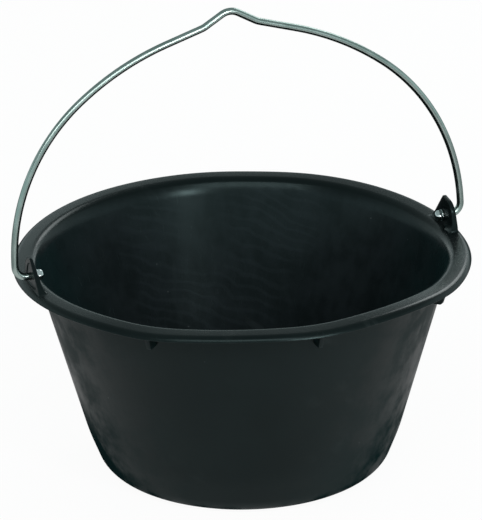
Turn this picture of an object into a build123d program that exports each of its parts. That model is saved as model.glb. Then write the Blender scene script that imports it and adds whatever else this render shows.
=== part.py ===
"""Cement bucket: a round moulded tub with two ears, a wire bail and the two washers on its ends.

Millimetres. The origin is the middle of the base, on the ground. +Z is up and +X runs along the
bail's hinge line, from the left ear to the right one.
"""

import os
from math import cos, hypot, pi, radians, sin, tan

from build123d import *

# Tub wall and floor
TUB_HEIGHT = 220.0  # ground to the crest of the rim
BASE_RADIUS = 144.7  # outside of the wall, carried down to the ground
WALL = 4.0
FLOOR = 4.5
BASE_CORNER = 28.0  # outside radius between the wall and the base
HEEL_RISE = 60.0  # ground to where the wall starts to turn in
HEEL_SETBACK = 4.5  # how far that turn brings the wall in, carried down to the ground
HEEL_ROUND = 450.0

# Rim: a flange that falls a little outwards and turns down into a lip
RIM_RADIUS = 225.5  # to the corner of the lip's lower edge, before it is rounded
RIM_WIDTH = 21.3  # outside of the wall to the edge of the rim
RIM_THICKNESS = 3.4
RIM_FALL = 1.2  # crest to the flange's outer edge
LIP_DROP = 2.0  # underside of the flange to the lip's lower edge
LIP_FLARE = 3.5  # how much further out the lip's lower edge is than the flange's
LIP_THICKNESS = 4.0  # at the lower edge
CREST_ROUND = 12.0  # inner edge of the rim
SHOULDER_ROUND = 8.0  # outer edge of the rim
LIP_ROUND = 0.5  # lower edges of the lip
NECK_ROUND = 1.5  # between the wall and the flange
LIP_CORNER_ROUND = 0.5  # between the flange and the lip

# Gussets under the rim, one every eighth of a turn but for the two under the ears
GUSSET_THICKNESS = 4.5
GUSSET_SETBACK = 2.5  # lip to the top of the gusset
GUSSET_DROP = 16.0  # lower edge of the lip to the gusset's foot
GUSSET_TOE = 13.0  # width of the foot, out from the wall
GUSSET_ROUND = 2.0
GUSSET_ANGLES = (45, 90, 135, 225, 270, 315)

# Ears: two upright plates on the rim, thinner towards the tip, with one straight and one rounded side
EAR_SETBACK = 12.5  # edge of the rim to the ear's inner face
EAR_FOOT_THICKNESS = 6.5
EAR_TIP_THICKNESS = 4.2
EAR_RISE = 28.0  # crest of the rim to the tip
EAR_TIP_ROUND = 1.5
EAR_SLANT_REACH = 27.0  # middle of the ear to the foot of its straight side
EAR_ROUND_REACH = 27.0  # middle of the ear to the foot of its rounded side
EAR_SHOULDER_RISE = 25.5  # crest of the rim to the corner that the rounded side cuts
EAR_SHOULDER_REACH = 21.0  # middle of the ear to that corner
EAR_SHOULDER_ROUND = 14.0
EAR_HOLE_RISE = 7.0  # crest of the rim to the hinge line
EAR_HOLE_CLEARANCE = 0.5  # wire to the hole, all round

# Bail: one bent wire with an upset head at each end
WIRE_RADIUS = 3.5
LEG_GAP = 3.7  # edge of the rim to the wire of a leg
LEG_BEND = 11.0  # centreline radius of the bend at the ear
LEG_STRAIGHT = 0.5  # straight run above that bend
SHOULDER_RISE = 108.2  # hinge line to the corner that the shoulder's lower arc rounds off
BROW_RISE = 87.7  # that corner to the one that the upper arc rounds off
BROW_HALF_WIDTH = 114.3
LOWER_ARC_SHARE = 0.66  # most of the run between the two corners that the lower arc takes
ARC_GAP = 1.0  # straight run between the two arcs
PEAK_FOOT_RISE = 25.7  # upper corner to the foot of the peak
PEAK_HALF_WIDTH = 27.6
PEAK_RISE = 15.6  # foot of the peak to its corner
PEAK_ROUND = 17.0
PEAK_FOOT_ROUND = 24.0
BAIL_LEAN = 6.0  # degrees from upright, towards +Y
HEAD_FLARE = 2.0  # how far the head stands out from the wire
HEAD_LENGTH = 6.0
HEAD_EDGE_ROUND = 0.8

# Washers, loose on the wire between an ear and a head
WASHER_WIDTH = 2.2  # bore to the outer edge
WASHER_THICKNESS = 1.5
RUNNING_GAP = 0.3  # washer to wire, ear and head

# Levels and places that follow from the sizes above
flange_top = TUB_HEIGHT - RIM_FALL
flange_under = flange_top - RIM_THICKNESS
flange_middle = flange_under + RIM_THICKNESS / 2
lip_foot = flange_under - LIP_DROP
lip_inner = RIM_RADIUS - LIP_THICKNESS
neck_radius = RIM_RADIUS - RIM_WIDTH
hinge_z = TUB_HEIGHT + EAR_HOLE_RISE
wall_slope = (neck_radius - BASE_RADIUS) / flange_under
wall_across = WALL * hypot(1, wall_slope)
ear_inner = RIM_RADIUS - EAR_SETBACK
head_face = ear_inner - WASHER_THICKNESS - 2 * RUNNING_GAP
leg_x = RIM_RADIUS + LEG_GAP + WIRE_RADIUS
head_radius = WIRE_RADIUS + HEAD_FLARE
washer_bore = WIRE_RADIUS + RUNNING_GAP


def wall_radius(z):
    """Outside radius of the wall at a height."""
    return BASE_RADIUS + wall_slope * z


def tub_section():
    """Corners and corner radii of the tub's half section, from the ground round to the floor."""
    foot_radius = BASE_RADIUS - HEEL_SETBACK
    heel_slope = wall_slope + HEEL_SETBACK / HEEL_RISE
    heel_across = WALL * hypot(1, heel_slope)
    inner_foot = foot_radius + heel_slope * FLOOR - heel_across
    inner_heel_rise = HEEL_RISE * (1 + (heel_across - wall_across) / HEEL_SETBACK)
    inner_heel = wall_radius(inner_heel_rise) - wall_across
    inner_crest = wall_radius(TUB_HEIGHT) - wall_across
    corners = [
        ((foot_radius, 0), BASE_CORNER),
        ((wall_radius(HEEL_RISE), HEEL_RISE), HEEL_ROUND),
        ((neck_radius, flange_under), NECK_ROUND),
        ((lip_inner, flange_under), LIP_CORNER_ROUND),
        ((lip_inner, lip_foot), LIP_ROUND),
        ((RIM_RADIUS, lip_foot), LIP_ROUND),
        ((RIM_RADIUS - LIP_FLARE, flange_top), SHOULDER_ROUND),
        ((inner_crest, TUB_HEIGHT), CREST_ROUND),
        ((inner_heel, inner_heel_rise), HEEL_ROUND - WALL),
        ((inner_foot, FLOOR), BASE_CORNER - WALL),
    ]
    points = [(0, 0)] + [point for point, _ in corners] + [(0, FLOOR)]
    return points, [radius for _, radius in corners]


def bail_corners():
    """Corners of the right half of the bail on its own plane, from the head to the peak."""
    brow_level = SHOULDER_RISE + BROW_RISE
    foot_level = brow_level + PEAK_FOOT_RISE
    return [
        (head_face, 0),
        (leg_x, 0),
        (leg_x, SHOULDER_RISE),
        (BROW_HALF_WIDTH, brow_level),
        (PEAK_HALF_WIDTH, foot_level),
        (0, foot_level + PEAK_RISE),
    ]


def shoulder_radii():
    """Centreline radii of a shoulder's lower and upper arc, as large as the runs beside them allow."""
    ankle, lower, upper, peak_foot, peak = [Vector(*corner) for corner in bail_corners()[1:]]
    leg, flank, brow, slope = lower - ankle, upper - lower, peak_foot - upper, peak - peak_foot
    lower_half_turn = radians(leg.get_angle(flank)) / 2
    upper_half_turn = radians(flank.get_angle(brow)) / 2
    foot_half_turn = radians(brow.get_angle(slope)) / 2
    lower_reach = min(leg.length - LEG_BEND - LEG_STRAIGHT, LOWER_ARC_SHARE * flank.length)
    flank_left = flank.length - lower_reach - ARC_GAP
    brow_left = brow.length - PEAK_FOOT_ROUND * tan(foot_half_turn) - ARC_GAP
    upper_reach = min(flank_left, brow_left)
    return lower_reach / tan(lower_half_turn), upper_reach / tan(upper_half_turn)


# One ear, at +X
with BuildPart() as ear:
    with BuildSketch(Plane.YZ.offset(ear_inner)):
        ear_point = TUB_HEIGHT + EAR_RISE
        with BuildLine():
            ear_sides = FilletPolyline(
                (EAR_SLANT_REACH, flange_middle),
                (0, ear_point),
                (-EAR_SHOULDER_REACH, TUB_HEIGHT + EAR_SHOULDER_RISE),
                (-EAR_ROUND_REACH, flange_middle),
                radius=[EAR_TIP_ROUND, EAR_SHOULDER_ROUND],
            )
            Line(ear_sides @ 1, ear_sides @ 0)
        make_face()
        with Locations((0, hinge_z)):
            Circle(WIRE_RADIUS + EAR_HOLE_CLEARANCE, mode=Mode.SUBTRACT)
    extrude(amount=EAR_FOOT_THICKNESS)
    with BuildSketch(Plane.XZ):
        with BuildLine():
            Polyline(
                (ear_inner, flange_middle),
                (ear_inner + EAR_FOOT_THICKNESS, flange_middle),
                (ear_inner + EAR_TIP_THICKNESS, ear_point),
                (ear_inner, ear_point),
                close=True,
            )
        make_face()
    extrude(amount=EAR_SLANT_REACH + EAR_ROUND_REACH, both=True, mode=Mode.INTERSECT)

# One gusset, at +X
with BuildPart() as gusset:
    with BuildSketch(Plane.XZ) as gusset_outline:
        gusset_foot = lip_foot - GUSSET_DROP
        with BuildLine():
            Polyline(
                (wall_radius(flange_middle) - wall_across / 2, flange_middle),
                (lip_inner - GUSSET_SETBACK, flange_middle),
                (wall_radius(gusset_foot) + GUSSET_TOE, gusset_foot),
                (wall_radius(gusset_foot) - wall_across / 2, gusset_foot),
                close=True,
            )
        make_face()
        fillet(gusset_outline.vertices().group_by(Axis.Y)[0].sort_by(Axis.X)[-1], GUSSET_ROUND)
    extrude(amount=GUSSET_THICKNESS / 2, both=True)

# The tub, one moulding with its rim, gussets and ears
with BuildPart() as tub:
    with BuildSketch(Plane.XZ):
        section_points, section_radii = tub_section()
        with BuildLine():
            skin = FilletPolyline(*section_points, radius=section_radii)
            Line(skin @ 1, skin @ 0)
        make_face()
    revolve(axis=Axis.Z)
    with Locations([Rotation(0, 0, angle) for angle in GUSSET_ANGLES]):
        add(gusset.part)
    with PolarLocations(0, 2):
        add(ear.part)
tub.part.label = "tub"

# The bail, swept along straight runs and tangent arcs on a plane that leans back from upright
lean = radians(BAIL_LEAN)
bail_plane = Plane(origin=(0, 0, hinge_z), x_dir=(1, 0, 0), z_dir=(0, -cos(lean), sin(lean)))
right_half = bail_corners()
left_half = [(-x, y) for x, y in reversed(right_half[:-1])]
lower_arc, upper_arc = shoulder_radii()
half_rounds = [LEG_BEND, lower_arc, upper_arc, PEAK_FOOT_ROUND]
bail_rounds = half_rounds + [PEAK_ROUND] + half_rounds[::-1]
with BuildPart() as bail:
    with BuildLine(bail_plane) as route:
        FilletPolyline(*right_half, *left_half, radius=bail_rounds)
    with BuildSketch(Plane(origin=route.line @ 0, z_dir=route.line % 0)):
        Circle(WIRE_RADIUS)
    sweep()
    wire_volume = bail.part.volume
    with BuildSketch(Plane.XZ):
        with BuildLine():
            head_skin = FilletPolyline(
                (head_face, hinge_z),
                (head_face, hinge_z + head_radius),
                (head_face - HEAD_LENGTH, hinge_z + head_radius),
                (head_face - HEAD_LENGTH, hinge_z),
                radius=[HEAD_EDGE_ROUND, HEAD_LENGTH - 2 * HEAD_EDGE_ROUND],
            )
            Line(head_skin @ 1, head_skin @ 0)
        make_face()
    revolve(axis=Axis((0, 0, hinge_z), (1, 0, 0)))
    mirror(about=Plane.YZ)
bail.part.label = "bail"

# The washers, between each ear's inner face and the head
with BuildPart() as right_washer:
    with BuildSketch(Plane.YZ.offset(head_face + RUNNING_GAP)):
        with Locations((0, hinge_z)):
            Circle(washer_bore + WASHER_WIDTH)
            Circle(washer_bore, mode=Mode.SUBTRACT)
    extrude(amount=WASHER_THICKNESS)
right_washer.part.label = "right_washer"

with BuildPart() as left_washer:
    add(right_washer.part.mirror(Plane.YZ))
left_washer.part.label = "left_washer"

os.makedirs("parts", exist_ok=True)
for piece in (tub, bail, left_washer, right_washer):
    export_step(piece.part, f"parts/{piece.part.label}.step")

wire_length = route.wire().length
swept_share = wire_volume / (pi * WIRE_RADIUS**2 * wire_length)
print(f"wire {wire_length:.1f} mm long, swept volume {swept_share:.4f} of section times length")
print(f"shoulder arcs {lower_arc:.1f} and {upper_arc:.1f} mm")
print(f"hinge line {hinge_z:.1f} mm up, legs at {leg_x:.1f} mm")
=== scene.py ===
"""Dresses the cement bucket: the moulded tub, its wire bail and the two loose washers.

Lengths are metres in the part's own frame. The origin is the middle of the base, on the ground. +Z is
up and +X runs along the bail's hinge line, from the left ear to the right one.
"""

from __future__ import annotations

import logging
import math
from collections.abc import Iterable
from dataclasses import dataclass, field
from enum import Enum

import bmesh
import bpy
from mathutils import Matrix, Vector

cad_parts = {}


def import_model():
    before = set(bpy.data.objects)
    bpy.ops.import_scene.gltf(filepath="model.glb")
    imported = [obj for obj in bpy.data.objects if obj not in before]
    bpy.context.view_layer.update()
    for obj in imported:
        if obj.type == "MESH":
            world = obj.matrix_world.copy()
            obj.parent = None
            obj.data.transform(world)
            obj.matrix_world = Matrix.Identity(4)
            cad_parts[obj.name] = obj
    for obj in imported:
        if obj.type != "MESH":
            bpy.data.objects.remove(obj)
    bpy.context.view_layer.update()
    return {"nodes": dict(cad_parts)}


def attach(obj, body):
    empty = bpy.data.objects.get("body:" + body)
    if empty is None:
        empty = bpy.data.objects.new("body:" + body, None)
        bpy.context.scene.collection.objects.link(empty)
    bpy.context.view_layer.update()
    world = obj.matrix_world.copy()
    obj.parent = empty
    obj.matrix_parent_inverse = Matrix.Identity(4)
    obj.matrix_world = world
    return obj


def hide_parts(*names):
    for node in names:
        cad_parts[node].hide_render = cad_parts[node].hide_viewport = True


LOG = logging.getLogger("cement_bucket")
MM = 0.001
TOUCHING = 0.001 * MM
HINGE_HEIGHT = 227.0 * MM
UP = Vector((0, 0, 1))
HINGE = Vector((1, 0, 0))
ALONG = Vector((0, 1, 0))
FILM = "film"
NOISE_MEAN = 0.5
# Places of the colour sockets of a Mix node.
FIRST_COLOUR = 6
SECOND_COLOUR = 7
MIXED_COLOUR = 2

Number = float | int
Band = tuple[float, float]
Triple = tuple[float, float, float]
Colour = tuple[float, float, float]


class Side(Enum):
    """The two ends of the hinge line."""

    LEFT = -1
    RIGHT = 1


class Rounding(Enum):
    """What is rounded off."""

    EDGES = "EDGES"
    CORNERS = "VERTICES"


class Value:
    """One shader value that can stand in a Python expression."""

    def __init__(self, sheet: NodeSheet, socket: bpy.types.NodeSocket) -> None:
        """Wrap a socket.

        Args:
            sheet: The node sheet that the socket is on.
            socket: The output that gives the value.
        """
        self.sheet = sheet
        self.socket = socket

    def _math(self, operation: str, *terms: Value | Number) -> Value:
        """Add one Math node that takes the terms in order."""
        return self.sheet.value("ShaderNodeMath", {"operation": operation}, dict(enumerate(terms)))

    def __add__(self, other: Value | Number) -> Value:
        """Sum."""
        return self._math("ADD", self, other)

    def __radd__(self, other: Number) -> Value:
        """Sum with a number on the left."""
        return self._math("ADD", other, self)

    def __sub__(self, other: Value | Number) -> Value:
        """Difference."""
        return self._math("SUBTRACT", self, other)

    def __rsub__(self, other: Number) -> Value:
        """Difference with a number on the left."""
        return self._math("SUBTRACT", other, self)

    def __mul__(self, other: Value | Number) -> Value:
        """Product."""
        return self._math("MULTIPLY", self, other)

    def __rmul__(self, other: Number) -> Value:
        """Product with a number on the left."""
        return self._math("MULTIPLY", other, self)

    def size(self) -> Value:
        """The value without its sign."""
        return self._math("ABSOLUTE", self)

    def step(self, low: Number, high: Number) -> Value:
        """Ease from 0 to 1 as the value goes from low to high."""
        inputs = {"Value": self, "From Min": low, "From Max": high}
        return self.sheet.value("ShaderNodeMapRange", {"interpolation_type": "SMOOTHSTEP"}, inputs)

    def part(self, axis: str) -> Value:
        """One of three coordinates."""
        return self.sheet.value("ShaderNodeSeparateXYZ", inputs={0: self}, output=axis)

    def stretched(self, scale: Triple) -> Value:
        """Coordinates scaled along each axis."""
        return self.sheet.value("ShaderNodeVectorMath", {"operation": "MULTIPLY"}, {0: self, 1: scale})

    def turned(self, angles: Triple) -> Value:
        """Coordinates turned about the three axes, in radians."""
        return self.sheet.value("ShaderNodeMapping", inputs={"Vector": self, "Rotation": angles})


class NodeSheet:
    """The node tree of one material or of the world."""

    def __init__(self, owner: bpy.types.Material | bpy.types.World) -> None:
        """Start an empty sheet.

        Args:
            owner: The material or world that the nodes belong to.
        """
        owner.use_nodes = True
        self.tree = owner.node_tree
        self.tree.nodes.clear()

    def node(self, kind: str, settings: dict | None = None, inputs: dict | None = None) -> bpy.types.Node:
        """Add one node.

        Args:
            kind: Blender's type of the node.
            settings: Its own properties.
            inputs: Values, numbers, colours or sockets for its inputs, by name or index.

        Returns:
            The node.
        """
        node = self.tree.nodes.new(kind)
        for name, setting in (settings or {}).items():
            setattr(node, name, setting)
        for name, given in (inputs or {}).items():
            socket = node.inputs[name]
            source = given.socket if isinstance(given, Value) else given
            if isinstance(source, bpy.types.NodeSocket):
                self.tree.links.new(source, socket)
            else:
                socket.default_value = (*source, 1.0) if socket.type == "RGBA" else source
        return node

    def value(
        self, kind: str, settings: dict | None = None, inputs: dict | None = None, output: str | int = 0
    ) -> Value:
        """Add one node and take one of its outputs, by name or index."""
        return Value(self, self.node(kind, settings, inputs).outputs[output])

    def place(self) -> Value:
        """Object coordinates, which are the part's own frame."""
        return self.value("ShaderNodeTexCoord", output="Object")

    def looked_at(self) -> Value:
        """1 for what is seen directly, in a reflection or through glass, and 0 for soft light."""
        path = self.node("ShaderNodeLightPath")
        rays = [Value(self, path.outputs[f"Is {kind} Ray"]) for kind in ("Camera", "Glossy", "Transmission")]
        return sum(rays[1:], rays[0]).step(0.0, 1.0)

    def mix(self, share: Value | Number, low: Value | Colour, high: Value | Colour) -> Value:
        """Mix two colours, with a share of the second one."""
        inputs = {0: share, FIRST_COLOUR: low, SECOND_COLOUR: high}
        return self.value("ShaderNodeMix", {"data_type": "RGBA"}, inputs, MIXED_COLOUR)

    def bump(self, height: Value, distance: float) -> Value:
        """Turn a height into a normal, where a height of 1 stands for the distance."""
        return self.value("ShaderNodeBump", inputs={"Height": height, "Distance": distance}, output="Normal")

    def finish(self, shader: Value) -> None:
        """Send a shader to the material's output."""
        self.node("ShaderNodeOutputMaterial", inputs={"Surface": shader})


@dataclass(frozen=True)
class Noise:
    """Soft noise, and the band of it over which a mask of it is eased from 0 to 1."""

    per_metre: float
    octaves: float
    fineness: float = 0.5
    stretch: Triple | None = None
    band: Band = (0.0, 1.0)

    def at(self, place: Value) -> Value:
        """Read the noise.

        Args:
            place: The coordinates that it reads.

        Returns:
            The noise, about 0.5 on average.
        """
        if self.stretch:
            place = place.stretched(self.stretch)
        inputs = {
            "Vector": place,
            "Scale": self.per_metre,
            "Detail": self.octaves,
            "Roughness": self.fineness,
        }
        return place.sheet.value("ShaderNodeTexNoise", {"noise_dimensions": "3D"}, inputs, "Fac")

    def mask(self, place: Value) -> Value:
        """The noise eased from 0 to 1 over its band."""
        return self.at(place).step(*self.band)


@dataclass(frozen=True)
class DustFilm:
    """The film of dust inside the tub: soft blotches with finer ones on them."""

    colour: Colour = (0.0118, 0.0158, 0.0176)
    blotches: Noise = Noise(24.0, 6.0, 0.62)
    spots: Noise = Noise(95.0, 4.0, 0.6, (1, 1, 0.5))
    blotch_share: float = 0.65
    spot_share: float = 0.35
    band: Band = (0.36, 0.64)
    least: float = 0.32
    thicker: float = 0.55

    def share(self, place: Value) -> Value:
        """The film's share of the colour."""
        both = self.blotch_share * self.blotches.at(place) + self.spot_share * self.spots.at(place)
        return self.least + self.thicker * both.step(*self.band)


@dataclass(frozen=True)
class Scuffs:
    """Soft pale rubs that run aslant, in patches."""

    colour: Colour = (0.022, 0.027, 0.027)
    share: float = 0.35
    roughness: float = 0.08
    turn: Triple = (0.5, 0.6, 0.3)
    rubs: Noise = Noise(42.0, 3.0, stretch=(1, 1, 0.22), band=(0.56, 0.74))
    patches: Noise = Noise(7.0, 2.0, band=(0.46, 0.62))

    def mask(self, place: Value) -> Value:
        """0 on clean plastic and 1 in the middle of a rub."""
        return self.rubs.mask(place.turned(self.turn)) * self.patches.mask(place)


@dataclass(frozen=True)
class Specks:
    """Tiny pale grains that lie in the surface here and there."""

    colour: Colour = (0.07, 0.08, 0.08)
    share: float = 0.7
    cells_per_metre: float = 110.0
    edge: Band = (0.05, 0.10)
    lot: Band = (0.965, 0.97)

    def mask(self, place: Value) -> Value:
        """Scatter the grains over a few of many cells.

        Args:
            place: Where on the tub.

        Returns:
            1 on a grain and 0 beside it.
        """
        sheet = place.sheet
        cells = sheet.node("ShaderNodeTexVoronoi", inputs={"Vector": place, "Scale": self.cells_per_metre})
        away = Value(sheet, cells.outputs["Distance"])
        lot = sheet.value("ShaderNodeSeparateColor", inputs={0: cells.outputs["Color"]})
        return (1 - away.step(*self.edge)) * lot.step(*self.lot)


@dataclass(frozen=True)
class FlowMarks:
    """Fine curved wrinkles where the melt met, in a few patches."""

    film_share: float = 0.3
    height: float = 0.15
    turn: Triple = (0.2, -0.4, 0.0)
    bands_per_metre: float = 27.0
    distortion: float = 11.0
    octaves: float = 2.0
    octave_scale: float = 0.6
    band: Band = (0.55, 0.95)
    patches: Noise = Noise(8.0, 1.0, band=(0.52, 0.64))

    def mask(self, place: Value) -> Value:
        """Draw the wrinkles.

        Args:
            place: Where on the tub.

        Returns:
            1 along a wrinkle and 0 beside it.
        """
        inputs = {
            "Vector": place.turned(self.turn),
            "Scale": self.bands_per_metre,
            "Distortion": self.distortion,
            "Detail": self.octaves,
            "Detail Scale": self.octave_scale,
        }
        settings = {"wave_type": "BANDS", "bands_direction": "Z"}
        wave = place.sheet.value("ShaderNodeTexWave", settings, inputs, "Fac")
        return wave.step(*self.band) * self.patches.mask(place)


@dataclass(frozen=True)
class PaintedSheen:
    """Painted sheen and shade: at a slant, a matt teal layer takes the place of part of the reflection,
    which comes out darker and tinted. It is patchy on the wall, stronger low down where the wall reflects
    the floor, and even on the rim.
    """

    # The teal colour of the painted sheen.
    colour: Colour = (0.0065, 0.0175, 0.0180)
    colour_share: float = 0.85
    least: float = 0.27
    # More painted shade low down, where the wall reflects the floor.
    low_down: float = 0.34
    low_level: Band = (20.0 * MM, 130.0 * MM)
    patchy: float = 0.44
    patches: Noise = Noise(17.0, 5.0, 0.62, band=(0.38, 0.62))
    wall_slant: Band = (0.2, 0.72)
    on_rim: float = 0.85
    rim_slant: Band = (0.65, 0.79)

    def share(self, place: Value, rim: Value) -> Value:
        """How much of the painted sheen there is.

        Args:
            place: Where on the tub.
            rim: 1 on the rim and 0 on the wall.

        Returns:
            The share of the matt layer that paints the sheen.
        """
        slant = place.sheet.value("ShaderNodeLayerWeight", output="Facing")
        low = 1 - place.part("Z").step(*self.low_level)
        patchy = self.least + self.low_down * low + self.patchy * self.patches.mask(place)
        on_wall = patchy * slant.step(*self.wall_slant) * (1 - rim)
        return on_wall + self.on_rim * slant.step(*self.rim_slant) * rim


@dataclass(frozen=True)
class TubPlastic:
    """Black recycled plastic: mottled, with a rim rubbed shiny, dust inside and a painted sheen at a slant.
    """

    name: str = "tub_plastic"
    deep: Colour = (0.0029, 0.0043, 0.0045)
    cloudy: Colour = (0.0044, 0.0066, 0.0068)
    refraction: float = 1.225
    gloss_tint: Colour = (0.70, 1.0, 1.0)
    roughness: float = 0.36
    rubbed: float = 0.11
    rim_level: Band = (207.0 * MM, 211.0 * MM)
    clouds: Noise = Noise(9.0, 4.0, band=(0.3, 0.7))
    cloud_roughness: float = 0.10
    streaks: Noise = Noise(160.0, 3.0, stretch=(1, 1, 0.06))
    streak_roughness: float = 0.12
    streak_height: float = 0.28
    grain: Noise = Noise(700.0, 3.0)
    grain_height: float = 0.25
    relief: float = 0.12 * MM
    film: DustFilm = DustFilm()
    scuffs: Scuffs = Scuffs()
    specks: Specks = Specks()
    flow_marks: FlowMarks = FlowMarks()
    # Painted sheen: at a slant, a matt teal layer stands in for part of the reflection.
    painted_sheen: PaintedSheen = PaintedSheen()

    def material(self) -> bpy.types.Material:
        """Make the material."""
        made = bpy.data.materials.new(self.name)
        sheet = NodeSheet(made)
        place = sheet.place()
        rim = place.part("Z").step(*self.rim_level)
        inside = sheet.value("ShaderNodeAttribute", {"attribute_name": FILM}, output="Fac")
        cloud = self.clouds.at(place)
        streak = self.streaks.at(place)
        scuff = self.scuffs.mask(place)
        marks = self.flow_marks.mask(place)
        colour = sheet.mix(cloud.step(*self.clouds.band), self.deep, self.cloudy)
        filmed = inside * (self.film.share(place) + self.flow_marks.film_share * marks)
        colour = sheet.mix(filmed, colour, self.film.colour)
        colour = sheet.mix(self.scuffs.share * scuff, colour, self.scuffs.colour)
        colour = sheet.mix(self.specks.share * self.specks.mask(place), colour, self.specks.colour)
        rough = self.roughness + self.cloud_roughness * (cloud - NOISE_MEAN)
        rough = rough + self.streak_roughness * (streak - NOISE_MEAN) + self.scuffs.roughness * scuff
        height = self.grain_height * self.grain.at(place) + self.streak_height * streak * (1 - inside)
        surface = {
            "Base Color": colour,
            "Roughness": rough - self.rubbed * (rim + inside).step(0.0, 1.0),
            "IOR": self.refraction,
            "Specular Tint": self.gloss_tint,
            "Normal": sheet.bump(height + self.flow_marks.height * marks, self.relief),
        }
        shiny = sheet.value("ShaderNodeBsdfPrincipled", inputs=surface)
        # Painted sheen: at a slant, this matt teal layer takes the place of part of the reflection, darker
        # and tinted.
        sheen_colour = sheet.mix(self.painted_sheen.colour_share, colour, self.painted_sheen.colour)
        dull = {**surface, "Base Color": sheen_colour, "Specular IOR Level": 0.0}
        matt = sheet.value("ShaderNodeBsdfPrincipled", inputs=dull)
        layers = {0: self.painted_sheen.share(place, rim), 1: shiny, 2: matt}
        sheet.finish(sheet.value("ShaderNodeMixShader", inputs=layers))
        return made


@dataclass(frozen=True)
class GalvanisedSteel:
    """Zinc-coated steel, from dull wire to the brighter worked ends."""

    name: str
    colour: Colour
    worn: Colour
    edge_tint: Colour
    roughness: float
    wear: Noise = Noise(60.0, 4.0, band=(0.35, 0.65))
    wear_roughness: float = 0.15
    grain: Noise = Noise(900.0, 2.0)
    relief: float = 0.03 * MM

    def material(self) -> bpy.types.Material:
        """Make the material."""
        made = bpy.data.materials.new(self.name)
        sheet = NodeSheet(made)
        place = sheet.place()
        wear = self.wear.at(place)
        surface = {
            "Base Color": sheet.mix(wear.step(*self.wear.band), self.colour, self.worn),
            "Metallic": 1.0,
            "Roughness": self.roughness + self.wear_roughness * (wear - NOISE_MEAN),
            "Specular Tint": self.edge_tint,
            "Normal": sheet.bump(self.grain.at(place), self.relief),
        }
        sheet.finish(sheet.value("ShaderNodeBsdfPrincipled", inputs=surface))
        return made


@dataclass(frozen=True)
class PaleFloor:
    """The plain pale floor: a sweep of white paper that fades into pale grey, and keeps a soft shadow."""

    name: str = "pale_floor"
    paper: Colour = (0.88, 0.88, 0.88)
    grey: Colour = (0.45, 0.45, 0.45)
    white: Colour = (1.0, 1.0, 1.0)
    lift: float = 0.95
    grey_lift: float = 0.25
    paper_half_width: Band = (0.38, 0.85)
    paper_turn: float = math.radians(20.13)

    def material(self) -> bpy.types.Material:
        """Make the material."""
        made = bpy.data.materials.new(self.name)
        sheet = NodeSheet(made)
        aside = sheet.place().turned((0, 0, self.paper_turn)).part("X").size()
        off_paper = aside.step(*self.paper_half_width)
        colour = sheet.mix(off_paper, self.paper, self.grey)
        lift = self.lift + (self.grey_lift - self.lift) * off_paper
        matt = sheet.value("ShaderNodeBsdfDiffuse", inputs={"Color": colour})
        white = sheet.value("ShaderNodeEmission", inputs={"Color": self.white, "Strength": 1.0})
        layers = {0: lift * sheet.looked_at(), 1: matt, 2: white}
        sheet.finish(sheet.value("ShaderNodeMixShader", inputs=layers))
        return made


def only(kind: type, parts: Iterable) -> list:
    """Those parts of a mesh that are vertices, edges or faces."""
    return [part for part in parts if isinstance(part, kind)]


@dataclass(frozen=True)
class Corner:
    """One corner of a route, rounded with a radius."""

    point: Vector
    radius: float = 0.0
    steps: int = 1


class Pen:
    """Carries a vertex or a ring of edges along straight runs and round arcs."""

    def __init__(self, mesh: bmesh.types.BMesh, tip: list) -> None:
        """Put the pen down.

        Args:
            mesh: The mesh that it draws in.
            tip: The vertices and edges that it carries.
        """
        self.mesh = mesh
        self.tip = tip

    def run(self, way: Vector, pieces: int = 1) -> None:
        """Draw straight on.

        Args:
            way: The whole way.
            pieces: How many equal pieces it is drawn in.
        """
        for _ in range(pieces):
            edges = only(bmesh.types.BMEdge, self.tip)
            if edges:
                made = bmesh.ops.extrude_edge_only(self.mesh, edges=edges)["geom"]
                verts = only(bmesh.types.BMVert, made)
            else:
                verts = bmesh.ops.extrude_vert_indiv(self.mesh, verts=self.tip)["verts"]
            bmesh.ops.translate(self.mesh, verts=verts, vec=way / pieces)
            kept = set(verts)
            nearby = (edge for vert in verts for edge in vert.link_edges)
            ring = dict.fromkeys(edge for edge in nearby if kept.issuperset(edge.verts))
            self.tip = [*verts, *ring]

    def swell(self, way: Vector, factor: float) -> None:
        """Draw a ring that stands square to the hinge line on to a wider or narrower one.

        Args:
            way: How far the ring moves.
            factor: How much wider it gets.
        """
        self.run(way)
        verts = only(bmesh.types.BMVert, self.tip)
        middle = sum((vert.co for vert in verts), Vector()) / len(verts)
        bmesh.ops.scale(self.mesh, verts=verts, vec=(1, factor, factor), space=Matrix.Translation(-middle))

    def turn(self, centre: Vector, axis: Vector, angle: float, steps: int) -> None:
        """Draw an arc about an axis through a centre, by the right-hand rule."""
        made = bmesh.ops.spin(self.mesh, geom=self.tip, cent=centre, axis=axis, angle=angle, steps=steps)
        self.tip = made["geom_last"]

    def follow(self, start: Vector, corners: list[Corner], run_length: float) -> None:
        """Draw a route of straight runs with rounded corners.

        Args:
            start: Where the pen is now.
            corners: The corners in order, the last of them the end of the route.
            run_length: The longest piece of a straight run.
        """
        here = start
        for corner, after in zip(corners, [*corners[1:], None]):
            ahead = (corner.point - here).normalized()
            if after is None or corner.radius == 0:
                reach, angle = 0.0, 0.0
            else:
                onward = (after.point - corner.point).normalized()
                angle = ahead.angle(onward)
                reach = corner.radius * math.tan(angle / 2)
            way = corner.point - ahead * reach - here
            self.run(way, max(1, math.ceil(way.length / run_length)))
            here = here + way
            if angle:
                axis = ahead.cross(onward).normalized()
                centre = here + axis.cross(ahead) * corner.radius
                self.turn(centre, axis, angle, corner.steps)
                here = corner.point + onward * reach


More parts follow.
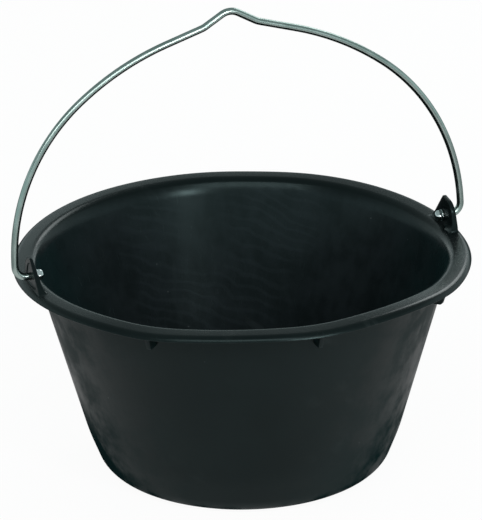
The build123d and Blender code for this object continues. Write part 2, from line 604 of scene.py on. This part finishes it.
def leaning(slope: float, level: float) -> Matrix:
    """A shear along the hinge line that leaves one level in place.

    Args:
        slope: How far it moves things for each metre above that level.
        level: The level.

    Returns:
        The matrix of the shear.
    """
    shear = Matrix.Identity(4)
    shear[0][2] = slope
    shear[0][3] = -slope * level
    return shear


def along_hinge(place: Vector) -> Matrix:
    """The frame at a place whose own Z runs along the hinge line."""
    return Matrix.Translation(place) @ Matrix.Rotation(math.pi / 2, 4, "Y")


def turn_all(mesh: bmesh.types.BMesh, angle: float, axis: str) -> None:
    """Turn a whole mesh about one of the frame's axes."""
    bmesh.ops.rotate(mesh, verts=mesh.verts, cent=(0, 0, 0), matrix=Matrix.Rotation(angle, 3, axis))


def thicken(mesh: bmesh.types.BMesh, way: Vector) -> list[bmesh.types.BMVert]:
    """Grow a flat outline into a plate.

    Args:
        mesh: The mesh, which holds the outline's face alone.
        way: The plate's thickness, from the outline to its far face.

    Returns:
        The vertices of the far face.
    """
    grown = bmesh.ops.extrude_face_region(mesh, geom=list(mesh.faces))["geom"]
    far = only(bmesh.types.BMVert, grown)
    bmesh.ops.translate(mesh, verts=far, vec=way)
    return far


def round_off(
    mesh: bmesh.types.BMesh,
    parts: list,
    radius: float,
    steps: int,
    what: Rounding = Rounding.EDGES,
    clamp: bool = False,
) -> None:
    """Round off edges, or the corners of an outline.

    Args:
        mesh: The mesh.
        parts: Its edges or vertices that are rounded.
        radius: The rounding.
        steps: How many pieces the rounding has.
        what: Whether edges or corners are rounded.
        clamp: True to keep neighbours from running into each other.
    """
    bmesh.ops.bevel(
        mesh,
        geom=parts,
        offset=radius,
        segments=steps,
        profile=0.5,
        affect=what.value,
        material=-1,
        clamp_overlap=clamp,
    )


def close_up(mesh: bmesh.types.BMesh) -> None:
    """Merge doubles, drop empty faces and point the rest outwards."""
    bmesh.ops.remove_doubles(mesh, verts=mesh.verts, dist=TOUCHING)
    bmesh.ops.dissolve_degenerate(mesh, edges=mesh.edges, dist=TOUCHING)
    bmesh.ops.recalc_face_normals(mesh, faces=mesh.faces)


def lathe(mesh: bmesh.types.BMesh, centre: Vector, axis: Vector, steps: int) -> None:
    """Turn the section in a mesh all the way round, into a closed shell.

    Args:
        mesh: The mesh, which holds the section alone.
        centre: A point on the axis.
        axis: What it turns about.
        steps: How many pieces the turn has.
    """
    section = [*mesh.verts, *mesh.edges]
    bmesh.ops.spin(
        mesh, geom=section, cent=centre, axis=axis, angle=math.tau, steps=steps, use_merge=True
    )
    close_up(mesh)


def linked(name: str, data: bpy.types.ID) -> bpy.types.Object:
    """Link a new object to the scene, at the origin.

    Args:
        name: The object's name.
        data: Its mesh, lamp or camera.

    Returns:
        The object.
    """
    made = bpy.data.objects.new(name, data)
    bpy.context.scene.collection.objects.link(made)
    return made


def put_in_scene(name: str, mesh: bmesh.types.BMesh) -> bpy.types.Object:
    """Make an object of a finished mesh.

    Args:
        name: The object's name.
        mesh: The mesh, which is freed.

    Returns:
        The object, at the origin.
    """
    data = bpy.data.meshes.new(name)
    mesh.to_mesh(data)
    mesh.free()
    return linked(name, data)


def shade(piece: bpy.types.Object, *materials: bpy.types.Material, sharp: float = 35.0) -> None:
    """Shade a piece smooth with crisp corners and give it its materials.

    Args:
        piece: The piece.
        materials: Its materials, in the order of its faces' indices.
        sharp: The angle in degrees from which a corner is crisp.
    """
    for face in piece.data.polygons:
        face.use_smooth = True
    piece.data.set_sharp_from_angle(angle=math.radians(sharp))
    for material in materials:
        piece.data.materials.append(material)


def joined(
    name: str, body: bpy.types.Object, tools: list[bpy.types.Object], cut: bool = False
) -> bpy.types.Object:
    """Unite a body with other pieces, or cut them out of it.

    Args:
        name: The name of the result.
        body: The body, which is used up.
        tools: The pieces, which are used up.
        cut: True to cut them out.

    Returns:
        One object with a single closed mesh.
    """
    for tool in tools:
        step = body.modifiers.new(tool.name, "BOOLEAN")
        step.operation = "DIFFERENCE" if cut else "UNION"
        step.solver = "EXACT"
        step.object = tool
    bpy.context.view_layer.update()
    data = bpy.data.meshes.new_from_object(body.evaluated_get(bpy.context.evaluated_depsgraph_get()))
    for used in (body, *tools):
        bpy.data.objects.remove(used)
    data.name = name
    return linked(name, data)


@dataclass
class Gusset:
    """One of the small stiffening plates under the rim, made at +X."""

    thickness: float = 4.5 * MM
    drop: float = 16.0 * MM
    toe: float = 13.0 * MM
    setback: float = 2.5 * MM
    corner_round: float = 2.0 * MM
    corner_steps: int = 4
    edge_round: float = 0.7 * MM
    edge_steps: int = 2

    def build(self, tub: Tub, angle: float) -> bpy.types.Object:
        """Model the gusset.

        Args:
            tub: The tub that it stiffens.
            angle: Where it stands, round the tub from +X.

        Returns:
            A closed piece that reaches into the wall and the flange.
        """
        foot = tub.lip_foot - self.drop
        top = tub.flange_under + tub.rim_thickness / 2
        buried = tub.wall / 2
        outline = [
            (tub.outer(top) - buried, top),
            (tub.lip_inner - self.setback, top),
            (tub.outer(foot) + self.toe, foot),
            (tub.outer(foot) - buried, foot),
        ]
        mesh = bmesh.new()
        verts = [mesh.verts.new((x, -self.thickness / 2, z)) for x, z in outline]
        mesh.faces.new(verts)
        _, _, toe, _ = verts
        round_off(mesh, [toe], self.corner_round, self.corner_steps, Rounding.CORNERS)
        thicken(mesh, ALONG * self.thickness)
        close_up(mesh)
        round_off(mesh, list(mesh.edges), self.edge_round, self.edge_steps, clamp=True)
        turn_all(mesh, angle, "Z")
        return put_in_scene(f"gusset_{round(math.degrees(angle))}", mesh)


@dataclass
class Ear:
    """One upright ear on the rim, made at +X."""

    inner_x: float = 213.0 * MM
    foot_thickness: float = 6.5 * MM
    tip_thickness: float = 4.2 * MM
    rise: float = 28.0 * MM
    tip_round: float = 1.5 * MM
    tip_steps: int = 5
    slant_reach: float = 27.0 * MM
    round_reach: float = 27.0 * MM
    shoulder_rise: float = 25.5 * MM
    shoulder_reach: float = 21.0 * MM
    shoulder_round: float = 14.0 * MM
    shoulder_steps: int = 12
    edge_round: float = 0.9 * MM
    edge_steps: int = 3
    panel_share: float = 0.7
    panel_slope: float = 0.95
    panel_middle: float = 10.0 * MM
    panel_depth: float = 0.8 * MM
    lean: float = 0.0
    skirt: float = 1.2 * MM
    inner_skirt: float = 7.0 * MM
    washer_seat: Band = (7.0 * MM, 13.0 * MM)
    toe: float = 2.4 * MM
    seat_drop: float = 0.4 * MM
    skirt_steps: int = 8
    hole_radius: float = 4.0 * MM
    drill_length: float = 40.0 * MM
    drill_sides: int = 32
    outline_piece: float = 4.0 * MM

    def build(self, tub: Tub, side: Side) -> bpy.types.Object:
        """Model the ear.

        Args:
            tub: The tub that carries it.
            side: The end of the hinge line that it stands at.

        Returns:
            A closed piece that reaches into the flange.
        """
        mesh = bmesh.new()
        self._draw_plate(mesh, tub.flange_under + tub.rim_thickness / 2, tub.height)
        self._sink_panel(mesh, tub.height)
        self._spread_foot(mesh, tub.flange_top - self.seat_drop)
        bmesh.ops.transform(mesh, matrix=leaning(self.lean, HINGE_HEIGHT), verts=mesh.verts)
        close_up(mesh)
        if side is Side.LEFT:
            turn_all(mesh, math.pi, "Z")
        plate = put_in_scene(f"ear_{side.name.lower()}", mesh)
        return joined(plate.name, plate, [self._drill(side)], cut=True)

    def _draw_plate(self, mesh: bmesh.types.BMesh, root: float, crest: float) -> None:
        """Draw the outline, thicken it, thin it towards the tip and round its edges.

        Args:
            mesh: The mesh to draw in.
            root: The level of its foot.
            crest: The level of the rim's crest.
        """
        point = crest + self.rise
        start = Vector((self.inner_x, self.slant_reach, root))
        end = Vector((self.inner_x, -self.round_reach, root))
        shoulder = Vector((self.inner_x, -self.shoulder_reach, crest + self.shoulder_rise))
        route = [
            Corner(Vector((self.inner_x, 0, point)), self.tip_round, self.tip_steps),
            Corner(shoulder, self.shoulder_round, self.shoulder_steps),
            Corner(end),
        ]
        pen = Pen(mesh, [mesh.verts.new(start)])
        pen.follow(start, route, self.outline_piece)
        pen.run(start - end)
        bmesh.ops.remove_doubles(mesh, verts=mesh.verts, dist=TOUCHING)
        bmesh.ops.contextual_create(mesh, geom=list(mesh.edges))
        outer = thicken(mesh, HINGE * self.foot_thickness)
        draft = (self.tip_thickness - self.foot_thickness) / (point - root)
        bmesh.ops.transform(mesh, matrix=leaning(draft, root), verts=outer)
        bmesh.ops.recalc_face_normals(mesh, faces=mesh.faces)
        rounded = [
            edge
            for edge in mesh.edges
            if abs(edge.verts[0].co.x - edge.verts[1].co.x) < self.tip_thickness / 2
            and max(vert.co.z for vert in edge.verts) > root + TOUCHING
        ]
        round_off(mesh, rounded, self.edge_round, self.edge_steps, clamp=True)

    def _sink_panel(self, mesh: bmesh.types.BMesh, crest: float) -> None:
        """Sink a panel into the outer face, which leaves a raised border.

        Args:
            mesh: The plate.
            crest: The level of the rim's crest.
        """
        face = max(mesh.faces, key=lambda face: face.normal.x * face.calc_area())
        middle = Vector((0, 0, crest + self.panel_middle))
        for share, depth in ((self.panel_share, 0.0), (self.panel_slope, self.panel_depth)):
            grown = bmesh.ops.extrude_face_region(mesh, geom=[face])["geom"]
            bmesh.ops.delete(mesh, geom=[face], context="FACES_ONLY")
            face = only(bmesh.types.BMFace, grown)[0]
            slant = Vector((face.normal.x, 0, face.normal.z))
            bmesh.ops.scale(mesh, verts=face.verts, vec=(1, share, share), space=Matrix.Translation(-middle))
            bmesh.ops.translate(mesh, verts=face.verts, vec=-depth * slant)

    def _spread_foot(self, mesh: bmesh.types.BMesh, seat: float) -> None:
        """Spread the foot in a fillet, which is wide on the inner face except under the washer.

        Args:
            mesh: The plate.
            seat: The level of the flange that it stands on.
        """
        tallest = max(self.skirt, self.inner_skirt, self.toe)
        cuts = [
            (UP, seat + tallest * (1 - step / self.skirt_steps) ** 2) for step in range(self.skirt_steps + 1)
        ]
        start, full = self.washer_seat
        cuts += [(ALONG, sign * place) for sign in (-1, 1) for place in (start, (start + full) / 2, full)]
        for way, place in cuts:
            every = [*mesh.verts, *mesh.edges, *mesh.faces]
            bmesh.ops.bisect_plane(mesh, geom=every, plane_co=way * place, plane_no=way)
        middle = self.inner_x + self.foot_thickness / 2

        def spread(level: float, radius: float) -> float:
            """How far a fillet of a radius stands out at a level."""
            fall = min(1.0, max(0.0, (seat + radius - level) / radius))
            return radius * (1 - math.sqrt(1 - fall**2))

        for vert in mesh.verts:
            reach = self.slant_reach if vert.co.y > 0 else self.round_reach
            clear = min(1.0, max(0.0, (abs(vert.co.y) - start) / (full - start)))
            wide = self.skirt + (self.inner_skirt - self.skirt) * clear if vert.co.x < middle else self.skirt
            vert.co.x += spread(vert.co.z, wide) * (vert.co.x - middle) / (self.foot_thickness / 2)
            vert.co.y += spread(vert.co.z, self.toe) * vert.co.y / reach

    def _drill(self, side: Side) -> bpy.types.Object:
        """Model a round bar where the wire goes through.

        Args:
            side: The end of the hinge line.

        Returns:
            The bar.
        """
        mesh = bmesh.new()
        bmesh.ops.create_cone(
            mesh,
            cap_ends=True,
            segments=self.drill_sides,
            radius1=self.hole_radius,
            radius2=self.hole_radius,
            depth=self.drill_length,
            matrix=along_hinge(Vector((side.value * self.inner_x, 0, HINGE_HEIGHT))),
        )
        return put_in_scene(f"drill_{side.name.lower()}", mesh)


def slack_ear() -> Ear:
    """The left ear, which is lower and narrower than the right one and leans outwards."""
    return Ear(
        inner_x=213.5 * MM,
        foot_thickness=6.0 * MM,
        tip_thickness=3.0 * MM,
        lean=0.09,
        rise=25.5 * MM,
        tip_round=4.0 * MM,
        slant_reach=30.0 * MM,
        skirt=1.5 * MM,
        toe=5.0 * MM,
        round_reach=17.5 * MM,
        shoulder_rise=22.0 * MM,
        shoulder_reach=14.5 * MM,
        shoulder_round=12.0 * MM,
    )


@dataclass(frozen=True)
class Dip:
    """One shallow dip in the rim."""

    angle: float
    at_crest: float
    at_lip: float


@dataclass
class RimWave:
    """The moulding's slight warp: slow waves round the rim, dips, and a lip that turns up at the back."""

    mean: float = 1.07 * MM
    # Size and top of the waves that go once, twice, three and four times round.
    waves: tuple[Band, ...] = (
        (0.35 * MM, math.radians(-127.5)),
        (2.58 * MM, math.radians(87.6)),
        (0.54 * MM, math.radians(42.8)),
        (0.56 * MM, math.radians(33.2)),
    )
    lip_tilt: float = 0.73 * MM
    lip_tilt_top: float = math.radians(-10.5)
    lip_rise: float = 1.9 * MM
    crest_sag: float = 1.5 * MM
    turned_up_at: float = math.radians(60.0)
    turned_up_width: float = math.radians(75.0)
    dips: tuple[Dip, ...] = (
        *(Dip(math.radians(angle), 1.5 * MM, 2.47 * MM) for angle in (225, 270, 315)),
        Dip(math.radians(66), 0.9 * MM, 1.1 * MM),
    )
    dip_width: float = math.radians(11.6)

    def lift(self, angle: float, outward: float) -> float:
        """How far the rim is raised.

        Args:
            angle: The angle round the tub, from +X.
            outward: 0 at the crest of the rim and 1 at its lip.

        Returns:
            The lift, downwards if negative.
        """
        away = math.remainder(angle - self.turned_up_at, math.tau) / self.turned_up_width
        turned_up = math.exp(-(away**4)) * (outward * self.lip_rise - (1 - outward) * self.crest_sag)
        lift = self.mean + outward * self.lip_tilt * math.cos(angle - self.lip_tilt_top) + turned_up
        for count, (size, top) in enumerate(self.waves, start=1):
            lift += size * math.cos(count * (angle - top))
        for dip in self.dips:
            apart = math.remainder(angle - dip.angle, math.tau) / self.dip_width
            lift -= (dip.at_crest + outward * (dip.at_lip - dip.at_crest)) * math.exp(-(apart**2))
        return lift


@dataclass
class Tub:
    """The moulded tub with its rim, gussets and ears."""

    finish: TubPlastic
    height: float = 220.0 * MM
    base_radius: float = 144.0 * MM
    wall: float = 4.0 * MM
    floor: float = 4.5 * MM
    base_corner: float = 26.0 * MM
    heel_rise: float = 42.0 * MM
    heel_setback: float = 4.5 * MM
    heel_round: float = 200.0 * MM
    rim_radius: float = 225.5 * MM
    rim_width: float = 21.3 * MM
    rim_thickness: float = 3.4 * MM
    rim_fall: float = 1.2 * MM
    lip_drop: float = 2.0 * MM
    lip_flare: float = 3.5 * MM
    lip_thickness: float = 4.0 * MM
    crest_set: float = 3.0 * MM
    crest_round: float = 8.0 * MM
    flare_depth: float = 10.0 * MM
    flare_round: float = 45.0 * MM
    shoulder_round: float = 7.0 * MM
    lip_round: float = 0.5 * MM
    neck_round: float = 1.5 * MM
    lip_corner_round: float = 0.5 * MM
    round_steps: int = 12
    soft_steps: int = 10
    neck_steps: int = 4
    lip_steps: int = 3
    lip_corner_steps: int = 2
    film_edge: float = 2.0 * MM
    film_fade: float = 9.0 * MM
    film_undercut: float = 0.2
    turn_steps: int = 288
    wall_piece: float = 12.0 * MM
    gusset_angles: tuple[int, ...] = (45, 90, 135, 225, 270, 315)
    gusset: Gusset = field(default_factory=Gusset)
    right_ear: Ear = field(default_factory=Ear)
    left_ear: Ear = field(default_factory=slack_ear)
    wave: RimWave = field(default_factory=RimWave)

    @property
    def flange_top(self) -> float:
        """Level of the flange's outer edge."""
        return self.height - self.rim_fall

    @property
    def flange_under(self) -> float:
        """Level of the flange's underside."""
        return self.flange_top - self.rim_thickness

    @property
    def lip_foot(self) -> float:
        """Level of the lip's lower edge."""
        return self.flange_under - self.lip_drop

    @property
    def lip_inner(self) -> float:
        """Inside radius of the lip."""
        return self.rim_radius - self.lip_thickness

    @property
    def neck(self) -> float:
        """Outside radius of the wall under the flange."""
        return self.rim_radius - self.rim_width

    @property
    def slope(self) -> float:
        """How much wider the wall gets for each metre up."""
        return (self.neck - self.base_radius) / self.flange_under

    def outer(self, level: float) -> float:
        """Outside radius of the wall at a level."""
        return self.base_radius + self.slope * level

    def inner(self, level: float) -> float:
        """Inside radius of the wall at a level."""
        return self.outer(level) - self.wall * math.hypot(1, self.slope)

    def build(self) -> bpy.types.Object:
        """Model the tub and dress it.

        Returns:
            The finished piece.
        """
        mesh = bmesh.new()
        self._draw_section(mesh)
        lathe(mesh, Vector(), UP, self.turn_steps)
        shell = put_in_scene("shell", mesh)
        added = [self.gusset.build(self, math.radians(angle)) for angle in self.gusset_angles]
        added.append(self.right_ear.build(self, Side.RIGHT))
        added.append(self.left_ear.build(self, Side.LEFT))
        piece = joined("tub_moulding", shell, added)
        self._lay_film(piece.data)
        self._warp(piece.data)
        shade(piece, self.finish.material())
        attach(piece, "tub")
        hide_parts("tub")
        return piece

    def _draw_section(self, mesh: bmesh.types.BMesh) -> None:
        """Draw the half section from the middle of the base round to the middle of the floor."""

        def corner(radius: float, level: float, rounding: float, steps: int) -> Corner:
            """A corner of the section."""
            return Corner(Vector((radius, 0, level)), rounding, steps)

        foot = self.base_radius - self.heel_setback
        heel_slope = self.slope + self.heel_setback / self.heel_rise
        heel_across = self.wall * math.hypot(1, heel_slope)
        across = self.wall * math.hypot(1, self.slope)
        inner_heel = self.heel_rise * (1 + (heel_across - across) / self.heel_setback)
        inner_foot = foot + heel_slope * self.floor - heel_across
        crest = self.inner(self.height) + self.crest_set
        flare = self.height - self.flare_depth
        start = Vector()
        route = [
            corner(foot, 0, self.base_corner, self.round_steps),
            corner(self.outer(self.heel_rise), self.heel_rise, self.heel_round, self.soft_steps),
            corner(self.neck, self.flange_under, self.neck_round, self.neck_steps),
            corner(self.lip_inner, self.flange_under, self.lip_corner_round, self.lip_corner_steps),
            corner(self.lip_inner, self.lip_foot, self.lip_round, self.lip_steps),
            corner(self.rim_radius, self.lip_foot, self.lip_round, self.lip_steps),
            corner(self.rim_radius - self.lip_flare, self.flange_top, self.shoulder_round, self.soft_steps),
            corner(crest, self.height, self.crest_round, self.round_steps),
            corner(self.inner(flare), flare, self.flare_round, self.soft_steps),
            corner(self.inner(inner_heel), inner_heel, self.heel_round - self.wall, self.soft_steps),
            corner(inner_foot, self.floor, self.base_corner - self.wall, self.round_steps),
            Corner(UP * self.floor),
        ]
        Pen(mesh, [mesh.verts.new(start)]).follow(start, route, self.wall_piece)

    def _lay_film(self, data: bpy.types.Mesh) -> None:
        """Mark the inside, where a film of dust dulls the plastic, in an attribute that the finish reads."""
        film = data.attributes.new(FILM, "FLOAT", "POINT")
        for vert, mark in zip(data.vertices, film.data):
            level = vert.co.z
            within = (self.outer(level) - self.wall / 2 - math.hypot(vert.co.x, vert.co.y)) / self.film_edge
            below = (self.height - level) / self.film_fade
            undercut = vert.normal.z < -self.film_undercut * level / self.heel_rise
            outside = undercut or level < self.floor / 2
            mark.value = 0.0 if outside else min(1.0, max(0.0, min(within, below)))

    def _warp(self, data: bpy.types.Mesh) -> None:
        """Move the rim and the upper wall by the slight wave, and leave the ears' holes in place."""
        hole_foot = HINGE_HEIGHT - self.right_ear.hole_radius
        crest = self.inner(self.height)
        for vert in data.vertices:
            level = vert.co.z
            if level > self.height:
                share = max(0.0, (hole_foot - level) / (hole_foot - self.height))
            else:
                share = (level / self.height) ** 2
            outward = (math.hypot(vert.co.x, vert.co.y) - crest) / (self.rim_radius - crest)
            angle = math.atan2(vert.co.y, vert.co.x)
            vert.co.z += share * self.wave.lift(angle, min(1.0, max(0.0, outward)))


@dataclass
class Bail:
    """The wire bail with its headed ends."""

    wire: GalvanisedSteel
    head: GalvanisedSteel
    wire_radius: float = 3.5 * MM
    head_face: float = 210.9 * MM
    head_flare: float = 2.0 * MM
    head_length: float = 6.0 * MM
    head_edge: float = 0.8 * MM
    head_steps: int = 6
    head_margin: float = 0.08 * MM
    head_zone: float = 7.0 * MM
    flat_shares: Band = (0.3, 0.7)
    lobes: int = 4
    lobe_depth: float = 1.3 * MM
    leg_x: float = 232.7 * MM
    leg_bend: float = 11.0 * MM
    leg_steps: int = 14
    leg_straight: float = 0.5 * MM
    shoulder_rise: float = 108.2 * MM
    shoulder_steps: int = 36
    brow_rise: float = 87.7 * MM
    brow_half_width: float = 114.3 * MM
    brow_steps: int = 16
    arc_gap: float = 1.0 * MM
    peak_foot_rise: float = 25.7 * MM
    peak_half_width: float = 27.6 * MM
    peak_rise: float = 15.6 * MM
    peak_round: float = 17.0 * MM
    peak_steps: int = 16
    peak_foot_round: float = 24.0 * MM
    peak_foot_steps: int = 8
    lean: float = math.radians(6.0)
    ring_sides: int = 32
    wire_piece: float = 12.0 * MM

    def build(self) -> bpy.types.Object:
        """Model the bail and dress it.

        Returns:
            The finished piece.
        """
        mesh = bmesh.new()
        rings = self._head_rings()
        first_x, first_radius = rings[0]
        ring = bmesh.ops.create_circle(
            mesh,
            segments=self.ring_sides,
            radius=first_radius,
            cap_ends=True,
            matrix=along_hinge(HINGE * first_x),
        )["verts"]
        pen = Pen(mesh, [*ring, *mesh.edges])
        for (x, radius), (next_x, next_radius) in zip(rings, rings[1:]):
            pen.swell(HINGE * (next_x - x), next_radius / radius)
        pen.follow(HINGE * self.head_face, self._route(), self.wire_piece)
        for (x, radius), (next_x, next_radius) in zip(rings[::-1], rings[-2::-1]):
            pen.swell(HINGE * (x - next_x), next_radius / radius)
        bmesh.ops.contextual_create(mesh, geom=only(bmesh.types.BMEdge, pen.tip))
        close_up(mesh)
        self._pinch_heads(mesh)
        turn_all(mesh, -self.lean, "X")
        bmesh.ops.translate(mesh, verts=mesh.verts, vec=UP * HINGE_HEIGHT)
        piece = put_in_scene("bail_wire", mesh)
        shade(piece, self.wire.material(), self.head.material())
        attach(piece, "bail")
        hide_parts("bail")
        return piece

    def _head_rings(self) -> list[tuple[float, float]]:
        """Place along +X and radius of the right head's rings, from its end to the wire."""
        end = self.head_face - self.head_length
        wide = self.wire_radius + self.head_flare
        dome = self.head_length - 2 * self.head_edge
        flat = wide - dome
        quarter = [step / self.head_steps * math.pi / 2 for step in range(self.head_steps + 1)]
        rings = [(end, share * flat) for share in self.flat_shares]
        rings += [(end + dome * (1 - math.cos(a)), flat + dome * math.sin(a)) for a in quarter]
        rings += [
            (self.head_face - self.head_edge * (1 - math.sin(a)), wide - self.head_edge * (1 - math.cos(a)))
            for a in quarter
        ]
        return [*rings, (self.head_face, self.wire_radius)]

    def _pinch_heads(self, mesh: bmesh.types.BMesh) -> None:
        """Press the lobes into the heads and mark their faces for the brighter finish."""
        for vert in mesh.verts:
            out = Vector((0, vert.co.y, vert.co.z))
            if abs(vert.co.x) < self.head_face - self.head_margin and out.length < self.head_zone:
                angle = math.atan2(out.z, out.y)
                dent = self.lobe_depth * (1 - math.cos(self.lobes * angle)) / 2
                reach = min(1.0, out.length / (self.wire_radius + self.head_flare))
                vert.co -= out.normalized() * dent * reach**2
        for face in mesh.faces:
            middle = face.calc_center_median()
            if abs(middle.x) < self.head_face and math.hypot(middle.y, middle.z) < self.head_zone:
                face.material_index = 1

    def _route(self) -> list[Corner]:
        """The corners of the wire's centreline, from the right head over the peak to the left head."""
        brow_level = self.shoulder_rise + self.brow_rise
        foot_level = brow_level + self.peak_foot_rise
        lower = Vector((self.leg_x, 0, self.shoulder_rise))
        upper = Vector((self.brow_half_width, 0, brow_level))
        peak_foot = Vector((self.peak_half_width, 0, foot_level))
        flank = upper - lower
        lower_reach = self.shoulder_rise - self.leg_bend - self.leg_straight
        upper_reach = flank.length - lower_reach - self.arc_gap
        lower_round = lower_reach / math.tan(flank.angle(UP) / 2)
        upper_round = upper_reach / math.tan(flank.angle(peak_foot - upper) / 2)
        half = [
            Corner(HINGE * self.leg_x, self.leg_bend, self.leg_steps),
            Corner(lower, lower_round, self.shoulder_steps),
            Corner(upper, upper_round, self.brow_steps),
            Corner(peak_foot, self.peak_foot_round, self.peak_foot_steps),
        ]
        peak = Corner(UP * (foot_level + self.peak_rise), self.peak_round, self.peak_steps)
        flip = Matrix.Scale(-1, 4, HINGE)
        other = [Corner(flip @ corner.point, corner.radius, corner.steps) for corner in reversed(half)]
        return [*half, peak, *other, Corner(HINGE * -self.head_face)]


@dataclass
class Washer:
    """One loose washer between an ear and a head."""

    finish: GalvanisedSteel
    side: Side
    bore: float = 3.8 * MM
    width: float = 2.2 * MM
    thickness: float = 1.5 * MM
    near_x: float = 211.2 * MM
    edge_round: float = 0.3 * MM
    edge_steps: int = 2
    edge_angle: float = 1.0
    turn_steps: int = 48

    def build(self) -> bpy.types.Object:
        """Model the washer and dress it.

        Returns:
            The finished piece.
        """
        mesh = bmesh.new()
        half = self.thickness / 2
        middle = Vector((self.side.value * (self.near_x + half), 0, HINGE_HEIGHT))
        outer = self.bore + self.width
        corners = [(-half, self.bore), (half, self.bore), (half, outer), (-half, outer)]
        verts = [mesh.verts.new(middle + Vector((x, 0, radius))) for x, radius in corners]
        for pair in zip(verts, [*verts[1:], verts[0]]):
            mesh.edges.new(pair)
        lathe(mesh, middle, HINGE, self.turn_steps)
        rims = [edge for edge in mesh.edges if edge.calc_face_angle(0.0) > self.edge_angle]
        round_off(mesh, rims, self.edge_round, self.edge_steps)
        node = f"{self.side.name.lower()}_washer"
        piece = put_in_scene(f"{node}_ring", mesh)
        shade(piece, self.finish.material())
        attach(piece, node)
        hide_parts(node)
        return piece


def direction(azimuth: float, elevation: float) -> Vector:
    """The way out from the bucket at an azimuth, from -Y towards +X, and an elevation."""
    flat = math.cos(elevation)
    return Vector((math.sin(azimuth) * flat, -math.cos(azimuth) * flat, math.sin(elevation)))


@dataclass(frozen=True)
class Softbox:
    """One soft rectangular lamp, placed as seen from the bucket."""

    name: str
    aside: float
    elevation: float
    distance: float
    width: float
    height: float
    brightness: float

    def hang(self, target: Vector, camera_azimuth: float) -> None:
        """Hang the lamp so that it faces the bucket.

        Args:
            target: What it faces.
            camera_azimuth: The azimuth that its own is counted from, in radians.
        """
        data = bpy.data.lights.new(self.name, "AREA")
        data.shape = "RECTANGLE"
        data.size = self.width
        data.size_y = self.height
        data.energy = self.brightness * math.pi * self.width * self.height
        outwards = direction(camera_azimuth + math.radians(self.aside), math.radians(self.elevation))
        lamp = linked(self.name, data)
        lamp.location = target + outwards * self.distance
        lamp.rotation_euler = (-outwards).to_track_quat("-Z", "Y").to_euler()


@dataclass
class Studio:
    """The floor, the light and the camera."""

    floor: PaleFloor
    floor_size: float = 40.0
    surround: float = 0.5
    tint: Colour = (0.82, 1.0, 1.0)
    backdrop_fade: Band = (0.28, 0.48)
    # Name, degrees aside of the camera, elevation, distance, width, height and brightness.
    lamps: tuple[Softbox, ...] = (
        Softbox("front_box", -6, 40, 2.6, 2.8, 0.55, 5.5),
        Softbox("front_spot", 33, 22.5, 2.6, 0.5, 0.4, 29.0),
        Softbox("back_box", 152, 32, 2.4, 0.9, 0.9, 5.0),
        Softbox("back_strip", 180, 7, 3.0, 3.0, 0.35, 1.0),
    )
    camera_azimuth: float = math.radians(-20.13)
    camera_elevation: float = math.radians(21.52)
    camera_roll: float = math.radians(0.83)
    camera_distance: float = 4.5
    target: Vector = field(default_factory=lambda: Vector((0, 0, 0.2186)))
    target_pixel: tuple[float, float] = (241.97, 252.63)
    image_size: tuple[int, int] = (482, 520)
    focal_pixels: float = 4586.0
    sensor: float = 36.0

    def build(self) -> None:
        """Lay the floor, hang the lamps and set up the camera."""
        mesh = bmesh.new()
        bmesh.ops.create_grid(mesh, x_segments=1, y_segments=1, size=self.floor_size / 2)
        ground = put_in_scene("floor", mesh)
        ground.data.materials.append(self.floor.material())
        self._light()
        self._camera()

    def _light(self) -> None:
        """Set the world and the soft lamps."""
        world = bpy.data.worlds.new("studio")
        bpy.context.scene.world = world
        sheet = NodeSheet(world)
        height = sheet.value("ShaderNodeTexCoord", output="Generated").part("Z")
        backdrop = (1 - height.step(*self.backdrop_fade)) * sheet.looked_at()
        strength = self.surround + (1 - self.surround) * backdrop
        glow = sheet.value("ShaderNodeBackground", inputs={"Color": self.tint, "Strength": strength})
        sheet.node("ShaderNodeOutputWorld", inputs={"Surface": glow})
        for lamp in self.lamps:
            lamp.hang(self.target, self.camera_azimuth)

    def _camera(self) -> None:
        """Set the camera where the photograph was taken from."""
        back = direction(self.camera_azimuth, self.camera_elevation)
        long_side = max(self.image_size)
        data = bpy.data.cameras.new("photo_camera")
        data.sensor_width = self.sensor
        data.lens = self.focal_pixels * self.sensor / long_side
        data.shift_x = (self.image_size[0] / 2 - self.target_pixel[0]) / long_side
        data.shift_y = (self.target_pixel[1] - self.image_size[1] / 2) / long_side
        camera = linked("photo_camera", data)
        camera.location = self.target + back * self.camera_distance
        level = (-back).to_track_quat("-Z", "Y").to_matrix().to_4x4()
        rolled = level @ Matrix.Rotation(-self.camera_roll, 4, "Z")
        camera.rotation_euler = rolled.to_euler()
        bpy.context.scene.camera = camera


def main() -> None:
    """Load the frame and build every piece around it."""
    logging.basicConfig(level=logging.INFO, format="%(name)s: %(message)s")
    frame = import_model()
    LOG.info("loaded nodes %s", ", ".join(sorted(frame["nodes"])))
    bpy.context.scene.view_settings.view_transform = "Standard"
    wire = GalvanisedSteel(
        name="bail_galvanised",
        colour=(0.245, 0.305, 0.285),
        worn=(0.30, 0.36, 0.34),
        # The edge tint is darker than the colour. It paints shade on the wire's flanks, where they are seen
        # at a slant.
        edge_tint=(0.17, 0.23, 0.215),
        roughness=0.23,
    )
    head = GalvanisedSteel(
        name="bright_ends",
        colour=(0.45, 0.50, 0.50),
        worn=(0.62, 0.66, 0.66),
        edge_tint=(0.5, 0.55, 0.55),
        roughness=0.2,
    )
    pieces = [Tub(TubPlastic()), Bail(wire, head), *(Washer(head, side) for side in Side)]
    for piece in (assembly.build() for assembly in pieces):
        LOG.info("built %s with %d faces", piece.name, len(piece.data.polygons))
    Studio(PaleFloor()).build()


if __name__ == "__main__":
    main()
